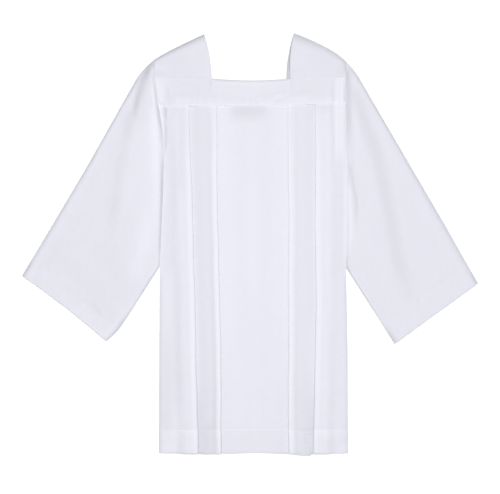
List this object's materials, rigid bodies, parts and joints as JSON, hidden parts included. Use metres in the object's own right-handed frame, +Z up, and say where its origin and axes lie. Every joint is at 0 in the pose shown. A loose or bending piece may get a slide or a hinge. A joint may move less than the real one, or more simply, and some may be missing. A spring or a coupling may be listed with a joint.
{
  "type": "surplice",
  "caption": "White square-neck surplice laid flat: pleated front and back, plain yoke band, shoulder straps and wide straight sleeves.",
  "frame": {"origin": "middle of the bounding box's underside, on the surface that the garment lies on", "axes": "+Z up off the surface, +Y from the hem towards the neck, +X towards the sleeve on a viewer's right"},
  "size_m": [0.9932, 0.9192, 0.0151],
  "materials": {
    "white_cloth": "light plain-weave poly-cotton, matt with a faint sheen"
  },
  "bodies": {
    "root": {"back_panel": "white_cloth", "back_yoke_band": "white_cloth", "front_panel": "white_cloth", "front_yoke_band": "white_cloth", "left_shoulder_strap": "white_cloth", "right_shoulder_strap": "white_cloth", "left_sleeve": "white_cloth", "right_sleeve": "white_cloth"}
  },
  "joints": []
}
